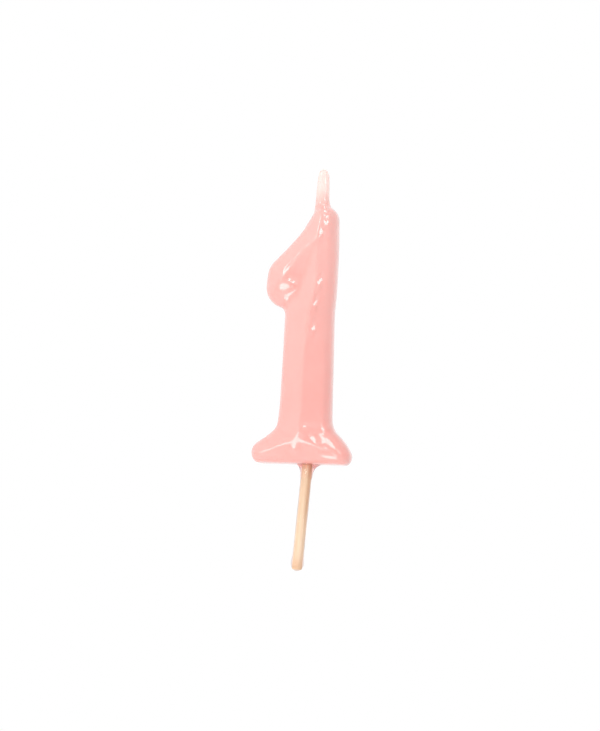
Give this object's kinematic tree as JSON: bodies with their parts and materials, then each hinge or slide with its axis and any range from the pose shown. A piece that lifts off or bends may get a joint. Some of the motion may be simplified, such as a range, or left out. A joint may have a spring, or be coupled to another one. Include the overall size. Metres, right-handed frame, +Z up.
{
  "type": "number birthday candle",
  "caption": "Numeral one candle with a chiselled face and a glossy skin, a waxed wick at its crown and a wooden pick below its foot for pressing into a cake.",
  "frame": {"origin": "where the pick's axis meets the flat underside of the foot, the plane that rests on the icing", "axes": "+Z up the numeral, towards the wick; the front face looks along -Y; +X is to the reader's right"},
  "size_m": [0.0235, 0.013, 0.0938],
  "materials": {
    "wax": "pale pink paraffin wax, satin",
    "lacquer": "pink dip lacquer, wet gloss",
    "cotton": "bleached cotton braid",
    "sleeve": "thin wax and lacquer, translucent, semi-gloss",
    "wood": "plain birch",
    "collar": "pooled pink lacquer, clear and glossy",
    "glaze": "clear lacquer, glossy"
  },
  "bodies": {
    "root": {"wax_core": "wax", "gloss_coat": "lacquer", "wick_ply_1": "cotton", "wick_ply_2": "cotton", "wick_ply_3": "cotton", "wick_sleeve": "sleeve", "pick": "wood", "pick_collar": "collar", "pick_glaze": "glaze", "pick_bead": "glaze"}
  },
  "joints": []
}
